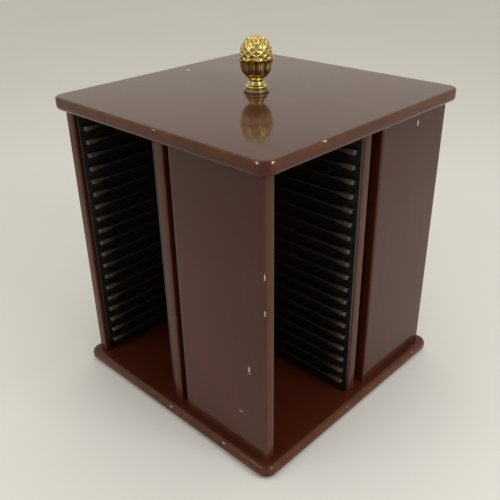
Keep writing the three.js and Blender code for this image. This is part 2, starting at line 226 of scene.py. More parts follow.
def bevel(piece, width, steps, test):
    """Rounds the edges that pass the test."""
    with editing(piece):
        pick(piece, "edges", test)
        bpy.ops.mesh.bevel(offset=width, segments=steps, affect="EDGES", clamp_overlap=False)


def upright(edge):
    start, end = edge.verts
    return near(start.co.x, end.co.x) and near(start.co.y, end.co.y)


def level_at(height):
    return lambda edge: all(near(corner.co.z, height) for corner in edge.verts)


def inset_fields(piece, width, least_area):
    """A border on each large flat face, so that the shading of the rounded edges stays at the edges."""
    with editing(piece):
        pick(piece, "faces", lambda face: face.calc_area() > least_area)
        bpy.ops.mesh.inset(thickness=width, use_individual=True)


def slice_at(piece, places, axis):
    """Cuts a piece across at places along an axis, without parting it."""
    with editing(piece):
        for place in places:
            pick_all()
            point = Vector((0, 0, 0))
            point[axis] = place
            normal = Vector((0, 0, 0))
            normal[axis] = 1
            bpy.ops.mesh.bisect(plane_co=point, plane_no=normal)


def modified(piece, kind, **settings):
    """Adds a modifier and applies it."""
    activate(piece)
    modifier = piece.modifiers.new(kind, kind)
    for key, value in settings.items():
        setattr(modifier, key, value)
    bpy.ops.object.modifier_apply(modifier=modifier.name)


def cut(piece, cutter):
    """Cuts a piece by another, which is then removed."""
    modified(piece, "BOOLEAN", object=cutter, operation="DIFFERENCE", solver="EXACT")
    bpy.data.objects.remove(cutter)


def join(name, pieces):
    activate(pieces[0])
    for piece in pieces:
        piece.select_set(True)
    bpy.ops.object.join()
    joined = bpy.context.object
    joined.name = name
    joined.data.name = name
    return joined


def smooth(piece, degrees=40):
    activate(piece)
    bpy.ops.object.shade_smooth_by_angle(angle=math.radians(degrees))


def copied(piece, name, matrix):
    """A copy with a mesh of its own, moved in the mesh."""
    copy = piece.copy()
    copy.data = piece.data.copy()
    copy.name = name
    copy.data.name = name
    copy.data.transform(matrix)
    if matrix.determinant() < 0:
        copy.data.flip_normals()
    bpy.context.scene.collection.objects.link(copy)
    return copy


def drawn(name, profile):
    """An open line in the XZ plane through (radius, height) pairs, drawn by extruding a corner."""
    deselect()
    radius, height = profile[0]
    bpy.ops.mesh.primitive_plane_add(size=MM, location=(radius, 0, height))
    line = bpy.context.object
    line.name = name
    line.data.name = name
    bpy.ops.object.transform_apply(location=True, rotation=True, scale=True)
    with editing(line):
        bpy.ops.mesh.select_mode(type="VERT")
        pick_all()
        bpy.ops.mesh.merge(type="CENTER")
        for next_radius, next_height in profile[1:]:
            step = Vector((next_radius - radius, 0, next_height - height))
            bpy.ops.mesh.extrude_vertices_move(TRANSFORM_OT_translate={"value": step})
            radius, height = next_radius, next_height
    return line


def turned(name, profile, steps=SPIN_STEPS):
    """A body turned about the Z axis from (radius, height) pairs, with doubles merged."""
    piece = drawn(name, profile)
    with editing(piece):
        pick_all()
        bpy.ops.mesh.spin(steps=steps, angle=2 * math.pi, center=(0, 0, 0), axis=(0, 0, 1))
        pick_all()
        bpy.ops.mesh.remove_doubles(threshold=MM / 1000)
        bpy.ops.mesh.normals_make_consistent(inside=False)
    return piece


def arc(radius, height, size, start, end, steps=6):
    """Profile points on a part of a circle, angles in degrees."""
    points = []
    for i in range(steps + 1):
        angle = math.radians(start + (end - start) * i / steps)
        points.append((radius + size * math.cos(angle), height + size * math.sin(angle)))
    return points


def eased(share):
    """From 0 to 1 with a soft start and end."""
    share = max(0.0, min(1.0, share))
    return (1 - math.cos(share * math.pi)) / 2


def curve_through(points, height):
    """Radius at a height on an eased line through (height, radius) pairs."""
    if height <= points[0][0]:
        return points[0][1]
    for (low, start), (high, end) in zip(points, points[1:]):
        if height <= high:
            return start + (end - start) * eased((height - low) / (high - low))
    return points[-1][1]


def to_metres(profile, bottom=0.0):
    return [(radius * MM, bottom + height * MM) for radius, height in profile]


# Materials


def new_finish(name):
    finish = bpy.data.materials.new(name)
    finish.use_nodes = True
    tree = finish.node_tree
    return finish, tree, tree.nodes["Principled BSDF"]


def add(tree, kind, inputs=None, **settings):
    """A shader node with its inputs set or linked."""
    made = tree.nodes.new("ShaderNode" + kind)
    for key, value in settings.items():
        setattr(made, key, value)
    for key, value in (inputs or {}).items():
        if isinstance(value, bpy.types.NodeSocket):
            tree.links.new(value, made.inputs[key])
        else:
            made.inputs[key].default_value = value
    return made


def object_place(tree, stretch=(1, 1, 1)):
    place = add(tree, "TexCoord").outputs["Object"]
    return add(tree, "Mapping", {"Vector": place, "Scale": stretch}).outputs["Vector"]


def noise(tree, place, scale, detail=3.0, roughness=0.5):
    inputs = {"Vector": place, "Scale": scale, "Detail": detail, "Roughness": roughness}
    return add(tree, "TexNoise", inputs).outputs["Fac"]


def between(tree, value, low, high, to_low=0.0, to_high=1.0):
    inputs = {"Value": value, "From Min": low, "From Max": high, "To Min": to_low, "To Max": to_high}
    return add(tree, "MapRange", inputs, interpolation_type="SMOOTHSTEP").outputs["Result"]


def blend_colour(tree, share, first, second):
    made = add(tree, "Mix", data_type="RGBA")
    for index, value in ((0, share), (6, first), (7, second)):
        if isinstance(value, bpy.types.NodeSocket):
            tree.links.new(value, made.inputs[index])
        elif index:
            made.inputs[index].default_value = (*value, 1)
        else:
            made.inputs[index].default_value = value
    return made.outputs[2]


def maths(tree, operation, first, second=0.0):
    return add(tree, "Math", {0: first, 1: second}, operation=operation).outputs[0]


def bump(tree, shader, height, strength, distance):
    inputs = {"Height": height, "Strength": strength, "Distance": distance}
    tree.links.new(add(tree, "Bump", inputs).outputs["Normal"], shader.inputs["Normal"])


def set_shader(shader, values):
    for key, value in values.items():
        shader.inputs[key].default_value = value


def marks_at(tree, marks):
    """Ragged spots, where a mark's place and radius say."""
    edge = noise(tree, object_place(tree), RAGGED_SCALE, 3.0)
    ragged = between(tree, edge, 0.3, 0.7, -RAGGED_REACH, RAGGED_REACH)
    found = 0.0
    for x, y, z, radius, squash in marks:
        centred = add(tree, "Mapping", {
            "Vector": add(tree, "TexCoord").outputs["Object"],
            "Location": (-x * MM, -y * MM, -z * MM),
        }).outputs["Vector"]
        flat = add(tree, "Mapping", {"Vector": centred, "Scale": squash}).outputs["Vector"]
        distance = add(tree, "VectorMath", {0: flat}, operation="LENGTH").outputs["Value"]
        distance = maths(tree, "ADD", distance, ragged)
        spot = between(tree, distance, radius * MARK_CORE * MM, radius * MM, 1.0, 0.0)
        found = maths(tree, "MAXIMUM", spot, found)
    return found


# Linear colours, and noise scales per metre
MAHOGANY_DARK = (0.043, 0.0078, 0.0026)
MAHOGANY_LIGHT = (0.063, 0.012, 0.0038)
MAHOGANY_EDGE = (0.105, 0.031, 0.0035)
# Painted shade: the walls' stain darkens to this colour towards their top, standing in for a dark reflection
# and the shade under the top board.
MAHOGANY_PAINTED_SHADE = (0.034, 0.005, 0.0012)
PAINTED_SHADE_START = 0.12
PAINTED_SHADE_END = 0.4
# Pale colour of chips, also used for two painted highlights on the top board.
RAW_WOOD_AND_HIGHLIGHT = (0.52, 0.44, 0.34)
STREAK_SCALE = 34.0
STREAK_SHARE = 0.65
PORE_SCALE = 110.0
PORE_STRETCH = 3
CLOUD_SCALE = 9.0
RUB_SCALE = 45.0
SPECK_SCALE = 420.0
RIPPLE_SCALE = 38.0
LACQUER_ROUGHNESS = 0.09
LACQUER_IOR = 1.27
RAGGED_SCALE = 900.0
RAGGED_REACH = 0.6 * MM
MARK_CORE = 0.55
PLASTIC_DARK = (0.0055, 0.0045, 0.004)
PLASTIC_DUSTY = (0.009, 0.0075, 0.0065)
# Pale lips of the ledges: dust and painted light, with a painted highlight along the outer rim.
PLASTIC_LIP_DUST_AND_LIGHT = (0.22, 0.165, 0.12)
BRASS_BRIGHT = (0.6, 0.48, 0.18)
BRASS_DULL = (0.3, 0.17, 0.04)
BRASS_ROUGHNESS = 0.09
DISC_BRIGHT = (0.27, 0.22, 0.1)
DISC_DULL = (0.12, 0.08, 0.03)
DISC_ROUGHNESS = 0.3
ZINC_DARK = (0.42, 0.43, 0.43)
ZINC_LIGHT = (0.56, 0.57, 0.58)
BEECH_DARK = (0.5, 0.34, 0.18)
BEECH_LIGHT = (0.62, 0.45, 0.26)
RUBBER_DARK = (0.011, 0.011, 0.011)
RUBBER_LIGHT = (0.022, 0.021, 0.02)
EVEN = (1, 1, 1)

# Chips and scratches, and on the boards two painted highlights: place and radius in millimetres, and how much
# each axis counts

BOARD_CHIPS_AND_HIGHLIGHTS = (
    (-137.2, 20, 359.5, 3.3, EVEN),
    # Painted highlights: the next two pale spots on the top's front corner stand for the lamps' glints on its
    # arris, not for chips.
    (152.3, -161.9, 358.2, 1.4, (0.6, 1, 1)),
    (161.9, -153, 358.2, 1.4, (1, 0.6, 1)),
    (161.8, -84, 359, 1.0, (1, 0.4, 1)),
    (20, -162.4, 358.2, 0.5, (0.4, 1, 1)),
    (97, -162.5, 13.6, 1.0, (0.4, 1, 1)),
    (146, -162, 8.5, 1.1, (0.5, 1, 1)),
    (156, -158.5, 7, 1.3, EVEN),
    (7, -162.5, 13, 0.7, (0.3, 1, 1)),
    (162.8, 124, 14, 1.1, (1, 0.5, 1)),
    (163.2, -21, 13, 1.0, (1, 0.4, 1)),
)
WALL_MARKS = (
    (128.7, -152, 127.3, 1.5, (1, 1, 0.35)),
    (115.4, -152, 64.8, 0.9, (0.35, 1, 1)),
    (129.6, -152, 123, 0.7, EVEN),
    (152, 93, 332, 1.2, (1, 1, 0.3)),
    (151, -151.8, 205.6, 0.7, (1, 1, 0.22)),
    (151, -151.8, 245, 0.6, (1, 1, 0.22)),
)


def lacquered_mahogany(name, stretch, marks, painted_shade_top):
    """Red-brown stain under a clear gloss coat, more orange where its edges are worn, with pale chips here
    and there (among the board marks two painted highlights), darkened towards the top by painted shade as
    much as the last argument asks.
    """
    finish, tree, shader = new_finish(name)
    streaks = noise(tree, object_place(tree, stretch), STREAK_SCALE, 4.0, 0.6)
    pores = noise(tree, object_place(tree, [s * PORE_STRETCH for s in stretch]), PORE_SCALE, 2.0)
    clouds = noise(tree, object_place(tree), CLOUD_SCALE, 2.0)
    streaks = maths(tree, "MULTIPLY", streaks, STREAK_SHARE)
    grain = maths(tree, "ADD", streaks, maths(tree, "MULTIPLY", clouds, 1 - STREAK_SHARE))
    stain = blend_colour(tree, between(tree, grain, 0.3, 0.7), MAHOGANY_DARK, MAHOGANY_LIGHT)
    stain = blend_colour(tree, between(tree, pores, 0.62, 0.75, 0.0, 0.3), stain, MAHOGANY_DARK)
    # Painted shade: darker towards the top, between the two heights above, as much as the last argument asks.
    place = add(tree, "SeparateXYZ", {"Vector": object_place(tree)}).outputs["Z"]
    painted_shade = between(tree, place, PAINTED_SHADE_START, PAINTED_SHADE_END, 0.0, painted_shade_top)
    stain = blend_colour(tree, painted_shade, stain, MAHOGANY_PAINTED_SHADE)
    worn = add(tree, "Attribute", attribute_name="worn").outputs["Fac"]
    patchy = between(tree, noise(tree, object_place(tree), RUB_SCALE, 3.0), 0.3, 0.6, 0.35, 0.9)
    stain = blend_colour(tree, maths(tree, "MULTIPLY", worn, patchy), stain, MAHOGANY_EDGE)
    specks = noise(tree, object_place(tree), SPECK_SCALE, 2.0, 0.7)
    chips_and_highlights = maths(tree, "MULTIPLY", between(tree, specks, 0.72, 0.76), between(tree, worn, 0.78, 0.95))
    # The marks paint chips, and on the boards two painted highlights, in the same pale colour.
    chips_and_highlights = maths(tree, "MAXIMUM", chips_and_highlights, marks_at(tree, marks))
    stain = blend_colour(tree, chips_and_highlights, stain, RAW_WOOD_AND_HIGHLIGHT)
    tree.links.new(stain, shader.inputs["Base Color"])
    set_shader(shader, {"Roughness": 0.5, "Specular IOR Level": 0.1, "Coat Weight": 1.0})
    set_shader(shader, {"Coat Roughness": LACQUER_ROUGHNESS, "Coat IOR": LACQUER_IOR})
    ripple = noise(tree, object_place(tree), RIPPLE_SCALE, 2.0)
    bump(tree, shader, ripple, 0.04, 1 * MM)
    return finish


def rack_plastic():
    """Black moulded plastic, dusty, and paler on the lips of its ledges with dust and painted light that
    falls in from the opening.
    """
    finish, tree, shader = new_finish("rack_plastic")
    dust = noise(tree, object_place(tree), 160.0, 3.0)
    black = blend_colour(tree, between(tree, dust, 0.4, 0.7), PLASTIC_DARK, PLASTIC_DUSTY)
    lip = add(tree, "Attribute", attribute_name="lip").outputs["Fac"]
    # Dust and painted light on the ledge lips: brightest at the front, where light falls in from the opening.
    lip_dust_and_light = maths(tree, "MULTIPLY", lip, between(tree, dust, 0.3, 0.65, 0.65, 1.0))
    tree.links.new(blend_colour(tree, lip_dust_and_light, black, PLASTIC_LIP_DUST_AND_LIGHT), shader.inputs["Base Color"])
    tree.links.new(between(tree, dust, 0.3, 0.7, 0.3, 0.4), shader.inputs["Roughness"])
    bump(tree, shader, noise(tree, object_place(tree), 900.0, 2.0), 0.06, 0.2 * MM)
    return finish


def polished_brass(name, bright, dull, roughness):
    """Brass, darker and browner in its hollows and where it has tarnished."""
    finish, tree, shader = new_finish(name)
    hollow = add(tree, "Attribute", attribute_name="hollow").outputs["Fac"]
    tarnish = noise(tree, object_place(tree), 130.0, 4.0)
    aged = maths(tree, "MAXIMUM", hollow, between(tree, tarnish, 0.5, 0.75, 0.0, 0.3))
    tree.links.new(blend_colour(tree, aged, bright, dull), shader.inputs["Base Color"])
    tree.links.new(between(tree, aged, 0.0, 1.0, roughness, roughness + 0.2), shader.inputs["Roughness"])
    set_shader(shader, {"Metallic": 1.0})
    bump(tree, shader, noise(tree, object_place(tree), 320.0, 2.0), 0.05, 0.3 * MM)
    return finish


def zinc_steel():
    finish, tree, shader = new_finish("zinc_steel")
    spangle = noise(tree, object_place(tree), 240.0, 3.0)
    colour = blend_colour(tree, between(tree, spangle, 0.35, 0.65), ZINC_DARK, ZINC_LIGHT)
    tree.links.new(colour, shader.inputs["Base Color"])
    tree.links.new(between(tree, spangle, 0.3, 0.7, 0.28, 0.42), shader.inputs["Roughness"])
    set_shader(shader, {"Metallic": 1.0})
    bump(tree, shader, noise(tree, object_place(tree), 700.0, 2.0), 0.05, 0.2 * MM)
    return finish


def plain_beech():
    finish, tree, shader = new_finish("plain_beech")
    grain = noise(tree, object_place(tree, (1, 1, 0.08)), 400.0, 3.0)
    colour = blend_colour(tree, between(tree, grain, 0.35, 0.65), BEECH_DARK, BEECH_LIGHT)
    tree.links.new(colour, shader.inputs["Base Color"])
    set_shader(shader, {"Roughness": 0.7})
    bump(tree, shader, grain, 0.15, 0.2 * MM)
    return finish


def black_rubber():
    finish, tree, shader = new_finish("black_rubber")
    speckle = noise(tree, object_place(tree), 500.0, 3.0)
    colour = blend_colour(tree, between(tree, speckle, 0.4, 0.65), RUBBER_DARK, RUBBER_LIGHT)
    tree.links.new(colour, shader.inputs["Base Color"])
    set_shader(shader, {"Roughness": 0.8})
    bump(tree, shader, speckle, 0.2, 0.2 * MM)
    return finish


ALONG_X = (0.12, 1, 1)
ALONG_Z = (1, 1, 0.12)
finishes = {
    # The walls take the full painted shade towards their top, the boards none.
    "flat": lacquered_mahogany("mahogany_boards", ALONG_X, BOARD_CHIPS_AND_HIGHLIGHTS, 0.0),
    "upright": lacquered_mahogany("mahogany_walls", ALONG_Z, WALL_MARKS, 1.0),
    "rack": rack_plastic(),
    "brass": polished_brass("polished_brass", BRASS_BRIGHT, BRASS_DULL, BRASS_ROUGHNESS),
    "disc": polished_brass("aged_brass", DISC_BRIGHT, DISC_DULL, DISC_ROUGHNESS),
    "steel": zinc_steel(),
    "beech": plain_beech(),
    "rubber": black_rubber(),
}


def finish_piece(piece, finish, slot, body, *nodes):
    """Gives a piece its finish, its body and the CAD nodes that it stands for."""
    piece.data.materials.clear()
    piece.data.materials.append(finishes[finish])
    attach(piece, body)
    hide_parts(*nodes)
    return piece


def store(piece, name, amount):
    """Stores an amount from 0 to 1 at each corner, from its place."""
    layer = piece.data.attributes.new(name, "FLOAT", "POINT")
    values = [max(0.0, min(1.0, amount(vertex.co))) for vertex in piece.data.vertices]
    layer.data.foreach_set("value", values)


# Boards


def rounded_board(name, node, corner, lower_edge, upper_edge):
    """A square board with rounded corners, its edge rounded more or less below and above."""
    low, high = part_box(node)
    board = block(name, low, high)
    bevel(board, corner, CORNER_STEPS, upright)
    bevel(board, upper_edge, EDGE_STEPS, level_at(high.z))
    bevel(board, lower_edge, EDGE_STEPS, level_at(low.z))
    inset_fields(board, FIELD_INSET, LEAST_BOARD_FIELD)
    arris = high.z - upper_edge / 3

    def amount(place):
        inwards = max(0, high.x - max(abs(place.x), abs(place.y)) - upper_edge / 3)
        return RUBBED_MOST - abs(place.z - arris) / RUBBED_DEPTH - inwards / (RUBBED_BORDER * upper_edge)

    store(board, "worn", amount)
    return board


def top_slab():
    board = rounded_board("top_slab", "top_board", TOP_CORNER, TOP_LOWER_EDGE, TOP_UPPER_EDGE)
    smooth(board)
    finish_piece(board, "flat", "mahogany", "tower", "top_board")


def countersink(x, y, bottom):
    """A cone that cuts the seat of a screw's head."""
    deselect()
    wide, narrow = SEAT_RADII
    bpy.ops.mesh.primitive_cone_add(
        vertices=32, radius1=wide, radius2=narrow, depth=SEAT_DEPTH, location=(x, y, bottom + SEAT_MIDDLE)
    )
    return bpy.context.object


def base_slab():
    board = rounded_board("base_slab", "base_board", BASE_CORNER, BASE_LOWER_EDGE, BASE_UPPER_EDGE)
    low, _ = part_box("base_board")
    _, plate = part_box("bearing_upper_plate")
    recess = plate.x * math.sqrt(2) + RECESS_CLEARANCE
    deselect()
    bpy.ops.mesh.primitive_cylinder_add(
        vertices=128, radius=recess, depth=RECESS_DEPTH * 2, location=(0, 0, low.z)
    )
    cut(board, bpy.context.object)
    for face in FACES:
        for i in (1, 2, 3):
            screw_low, screw_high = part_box(f"base_screw_{face}_{i}")
            middle = (screw_low + screw_high) / 2
            cut(board, countersink(middle.x, middle.y, low.z))
    smooth(board)
    finish_piece(board, "flat", "mahogany", "tower", "base_board")


# Walls and dividers


def wall(name, node, rounded, from_end):
    """An upright board whose chosen upright edges are rounded, and rubbed near its chosen ends."""
    low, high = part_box(node)
    board = block(name, low, high)
    bevel(board, WALL_ARRIS, ARRIS_STEPS, lambda edge: upright(edge) and rounded(edge, low))
    inset_fields(board, FIELD_INSET, LEAST_WALL_FIELD)

    def amount(place):
        across = min(place.y - low.y, high.y - place.y)
        return RUBBED_MOST - (from_end(place, low, high) + across) / (RUBBED_ARRIS * WALL_ARRIS)

    store(board, "worn", amount)
    smooth(board)
    return board


def every_edge(edge, low):
    return True


def front_edge(edge, low):
    return near(edge.verts[0].co.y, low.y)


def from_outer_end(place, low, high):
    return high.x - place.x


def from_either_end(place, low, high):
    return min(place.x - low.x, high.x - place.x)


# Racks


def ledge(x, y, z, length):
    """One ledge: x is its plate's face, y its front end and z the upper face of its run."""
    run = block("ledge", (x - MM, y, z - LEDGE_THICKNESS), (x + LEDGE_REACH, y + length, z))
    tapers = [NOSE_TAPER * i / TAPER_SLICES for i in range(TAPER_SLICES + 1)]
    slice_at(run, [y + NOSE_LENGTH + taper for taper in tapers], 1)
    middle = z - LEDGE_THICKNESS / 2
    places = [(y, 1.0)]
    places += [(y + (NOSE_LENGTH + taper), 1 - eased(taper / NOSE_TAPER)) for taper in tapers]
    with editing(run):
        for place, share in places:
            shift(run, lambda v: near(v.co.y, place) and v.co.z > middle, (0, 0, NOSE_RISE * share))
            shift(run, lambda v: near(v.co.y, place) and v.co.z < middle, (0, 0, -NOSE_DROP * share))
    bevel(run, NOSE_CORNER, 4, lambda edge: upright(edge) and corner_at(edge, x + LEDGE_REACH, y))
    bevel(run, LEDGE_ROUND, 3, lambda edge: sharp_rim(edge, x))
    return run


def corner_at(edge, x, y):
    return all(near(corner.co.x, x) and near(corner.co.y, y) for corner in edge.verts)


def sharp_rim(edge, x):
    """The sharp edges of a ledge's outer side and front end."""
    if len(edge.link_faces) != 2 or edge.calc_face_angle() < SHARP:
        return False
    middle = (edge.verts[0].co + edge.verts[1].co) / 2
    return middle.x > x + 0.1 * MM and not upright(edge)


def spring(x, y, z):
    """The bowed leaf under a ledge, its root in the ledge and its tip forwards and down."""
    outer = x + LEDGE_REACH
    root = y + SPRING_ROOT
    top = z - LEDGE_THICKNESS / 2
    low = (outer - SPRING_WIDTH, root - SPRING_LENGTH, top - SPRING_THICKNESS)
    leaf = block("spring", low, (outer, root + SPRING_THICKNESS, top))
    slice_at(leaf, [root - SPRING_LENGTH * i / SPRING_SLICES for i in range(SPRING_SLICES)], 1)
    with editing(leaf):
        for i in range(1, SPRING_SLICES + 1):
            share = i / SPRING_SLICES
            place = root - SPRING_LENGTH * share
            shift(leaf, lambda v: near(v.co.y, place), (0, 0, -SPRING_DROP * (1.5 * share - 0.5 * share**3)))
    bevel(leaf, SPRING_ROUND, 2, lambda edge: edge.calc_face_angle(0) > SHARP)
    return leaf


def lip_at(face, front):
    """How pale a ledge's place is with dust and painted light: most at its front end, fading backwards, and a
    painted highlight along its outer rim.
    """
    outer = face + LEDGE_REACH

    def amount(place):
        if place.x < face + LIP_FOOT:
            return 0.0
        inner = max(0.0, outer - place.x) / LIP_BREADTH
        behind = max(0.0, place.y - front - LIP_NOSE) / LIP_LENGTH
        nose = max(0.0, 1 - behind) ** 2 * (1 - LIP_FADE * inner)
        return LIP_RIM_SHARE * (1 - inner) + LIP_NOSE_SHARE * nose

    return amount


def rack():
    """The front opening's left rack: a plate with its ledges and springs."""
    low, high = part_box("rack_front_left")
    face = low.x + RACK_PLATE
    plate = block("rack_plate", low, (face, high.y, high.z))
    bevel(plate, PLATE_ROUND, 2, lambda edge: True)
    front = low.y + LEDGE_SETBACK
    shelf = low.z + FIRST_LEDGE
    run = ledge(face, front, shelf, high.y - front)
    store(run, "lip", lip_at(face, front))
    tooth = join("tooth", [run, spring(face, front, shelf)])
    modified(
        tooth, "ARRAY", count=LEDGE_COUNT, use_relative_offset=False, use_constant_offset=True,
        constant_offset_displace=(0, 0, LEDGE_PITCH),
    )
    moulding = join("slots_front_left", [tooth, plate])
    smooth(moulding, 35)
    return moulding


# Finial

CUP = ((7, 8), (9, 8.2), (13, 11), (17.7, 14.8), (23.6, 16.2), (29, 16.6), (33, 16.4))
ACORN = ((31.2, 17.7), (38.4, 17.8), (45.6, 16.1), (52.2, 11.4), (57.0, 0))
SCALES_ROUND = 12


def finial_profile():
    """Foot rings, neck, cup and the hidden core under the acorn, in millimetres."""
    foot = [(STUD_HOLE, 0), (11, 0), (11.6, 0.3)]
    foot += arc(11.2, 1.5, 1.0, -60, 80)
    foot += [(10.2, 2.9), (8.9, 3.3), (8.6, 4.0)]
    foot += arc(8.8, 5.3, 1.0, -70, 80)
    foot += [(8.0, 6.6), (7.8, 7.4)]
    levels = [CUP_START + i * CUP_STEP for i in range(CUP_LEVELS)]
    cup = [(curve_through(CUP, level), level) for level in levels]
    core = [(15.2, 36), (14, 42), (8, 48), (0, 51)]
    return foot + cup + core


PETAL_LINE = (
    (8.6, 8.9), (9.4, 10.3), (11.3, 12.1), (13.6, 14.1), (15.4, 16.3), (16.6, 18.7), (17.3, 21.3), (17.7, 24),
    (18, 26.6), (18.5, 28.9), (19.3, 30.7), (19.8, 32.0), (19.4, 33.3), (18.4, 34.2),
)
PETAL_WIDTHS = (0.5, 0.62, 0.74, 0.83, 0.9, 0.95, 0.97, 0.97, 0.97, 0.96, 0.92, 0.84, 0.7, 0.45)
# Midrib, its shoulders and the curled knobs: how far aside, between which levels, and how far raised
PETAL_RAISED = (((-1, 0.4), (13, 31.5), 1.1), ((0.4, 2.2), (14, 30), 0.5), ((1, 4), (30.5, 33.2), 0.6))


def within(aside, levels):
    """Whether a corner of the petal lies between two distances from its middle and between two levels."""
    near_side, far_side = (distance * MM for distance in aside)
    low, high = levels
    return lambda v: near_side < abs(v.co.y) < far_side and low < v.co.z / MM < high


def petal():
    """One leaf of the cup: a raised rim, a groove and a rounded midrib, its tip curled outwards in a knob."""
    leaf = drawn("petal", to_metres(PETAL_LINE))
    with editing(leaf):
        pick_all()
        bpy.ops.transform.rotate(value=PETAL_HALF, orient_axis="Z", center_override=(0, 0, 0))
        bpy.ops.mesh.spin(steps=PETAL_STEPS, angle=2 * PETAL_HALF, center=(0, 0, 0), axis=(0, 0, 1))
        pick_all()
        bpy.ops.mesh.remove_doubles(threshold=MM / 1000)
        bpy.ops.mesh.normals_make_consistent(inside=False)
    centre_leaf(leaf)
    with editing(leaf):
        for (radius, height), width in zip(PETAL_LINE, PETAL_WIDTHS):
            pick(leaf, "verts", lambda v: near(v.co.z, height * MM))
            bpy.ops.transform.resize(value=(1, width, 1), center_override=(radius * MM, 0, height * MM))
        pick(leaf, "faces", lambda face: True)
        bpy.ops.mesh.inset(thickness=PETAL_RIM, depth=0, use_even_offset=False)
        bpy.ops.mesh.inset(thickness=PETAL_GROOVE, depth=-PETAL_GROOVE_DEPTH, use_even_offset=False)
        for aside, levels, rise in PETAL_RAISED:
            shift(leaf, within(aside, levels), (rise * MM, 0, 0))
    modified(leaf, "SOLIDIFY", thickness=CASTING_WALL, offset=-1)
    modified(leaf, "SUBSURF", levels=2, render_levels=2)
    return leaf


def centre_leaf(leaf):
    """Turns the leaf about the axis until its middle lies on the X axis, its outer side outwards."""
    total = sum((vertex.co for vertex in leaf.data.vertices), Vector((0, 0, 0)))
    leaf.data.transform(Matrix.Rotation(-math.atan2(total.y, total.x), 4, "Z"))
    if sum(face.normal.x for face in leaf.data.polygons) < 0:
        leaf.data.flip_normals()


def acorn():
    """The acorn's shell of hollowed lozenges between raised ridges, made from a coarse turned dome."""
    shell = turned("acorn", to_metres([(radius, height) for height, radius in ACORN]), SCALES_ROUND)
    levels = [height * MM for height, _ in ACORN]

    def on_row(corner):
        return any(near(corner.co.z, level) for level in levels)

    with editing(shell):
        pick_all()
        bpy.ops.mesh.poke()
        pick(shell, "verts", lambda v: not on_row(v))
        bpy.ops.transform.shrink_fatten(value=LOZENGE_SWELL)
        pick(shell, "edges", lambda edge: len(edge.link_faces) == 2 and all(map(on_row, edge.verts)))
        bpy.ops.mesh.dissolve_edges(use_verts=False)
        pick_all()
        for border, sink in LOZENGE_CUTS:
            bpy.ops.mesh.inset(thickness=border, depth=sink, use_individual=True)
        pick_all()
        bpy.ops.mesh.subdivide(number_cuts=1)
        bpy.ops.mesh.normals_make_consistent(inside=False)
    modified(shell, "SOLIDIFY", thickness=ACORN_WALL, offset=-1)
    modified(shell, "SUBSURF", levels=1, render_levels=1)
    return shell


def line_radius(line, height):
    """Radius at a height on a line of (height, radius) pairs."""
    for (low, start), (high, end) in zip(line, line[1:]):
        if low <= height <= high:
            return start + (end - start) * (height - low) / (high - low)
    return line[-1][1] if height > line[-1][0] else line[0][1]


PETAL_LEVELS = tuple((height, radius) for radius, height in PETAL_LINE)


def hollow_at(place):
    """How deep a place of the casting lies in its pattern, 0 on the raised parts."""
    radius = math.hypot(place.x, place.y) / MM
    height = place.z / MM
    if height > ACORN_FOOT:
        return (line_radius(ACORN, height) - 0.3 - radius) * HOLLOW_GAIN
    if height > PETAL_FOOT:
        return (line_radius(PETAL_LEVELS, height) - 0.8 - radius) * HOLLOW_GAIN
    return 0.0


def finial():
    low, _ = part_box("finial")
    parts = [turned("finial_core", to_metres(finial_profile())), acorn()]
    leaf = petal()
    for i in range(PETALS):
        turn = Matrix.Rotation(PETAL_TURN + 2 * math.pi * i / PETALS, 4, "Z")
        parts.append(copied(leaf, f"petal_{i}", turn))
    bpy.data.objects.remove(leaf)
    casting = join("acorn_finial", parts)
    store(casting, "hollow", hollow_at)
    casting.data.transform(Matrix.Translation((0, 0, low.z)))
    smooth(casting, 60)
    finish_piece(casting, "brass", "brass", "tower", "finial")


def finial_disc():
    low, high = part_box("finial_plinth")
    radius, tall = high.x / MM, (high.z - low.z) / MM
    profile = [(STUD_HOLE, 0), (radius - 0.15, 0)]
    profile += arc(radius - 0.15, 0.15, 0.15, -90, 0)
    profile += arc(radius - 0.7, tall - 2.2, 0.7, 0, 90)
    profile += [(radius - 1.6, tall - 1.5)]
    profile += arc(radius - 2.4, tall - 0.8, 0.8, -20, 90)
    profile += [(STUD_HOLE, tall), (STUD_HOLE, 0)]
    disc = turned("finial_disc", to_metres(profile, low.z))
    smooth(disc)
    finish_piece(disc, "disc", "brass", "tower", "finial_plinth")


# Swivel, feet and screws


def swivel_plate(name, node, body, level, outward):
    """A square stamped plate, pressed inwards in the middle, with its race pressed back out."""
    low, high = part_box(node)
    bottom, top = sorted((level, level - outward * SWIVEL_SHEET * MM))
    sheet = block(name, (low.x, low.y, bottom), (high.x, high.y, top))
    bevel(sheet, SWIVEL_CORNER, 8, upright)
    bevel(sheet, SWIVEL_ROUND, 2, lambda edge: level_at(top)(edge) or level_at(bottom)(edge))
    edge = RACE_RADIUS + RACE_WIDTH / 2 + RACE_LANDING
    deselect()
    bpy.ops.mesh.primitive_cylinder_add(vertices=96, radius=edge * MM, depth=0.05, location=(0, 0, level))
    cut(sheet, bpy.context.object)
    start = RACE_RADIUS - RACE_WIDTH / 2
    thick = -outward * SWIVEL_SHEET
    pressed = -outward * SWIVEL_PRESSING
    hole = RIVET_OUTER + RIVET_PLAY
    profile = [
        (hole, pressed), (start - RACE_SLOPE - 0.8, pressed), (start - RACE_SLOPE, pressed * 0.9),
        (start - 0.5, pressed * 0.1), (start, 0), (edge, 0), (edge, thick), (start + 0.6, thick),
        (start - RACE_SLOPE + 0.6, pressed + thick), (hole, pressed + thick), (hole, pressed),
    ]
    pressing = turned("pressing", to_metres(profile, level))
    plate = join(name, [sheet, pressing])
    smooth(plate, 30)
    finish_piece(plate, "steel", "zinc_steel", body, node)


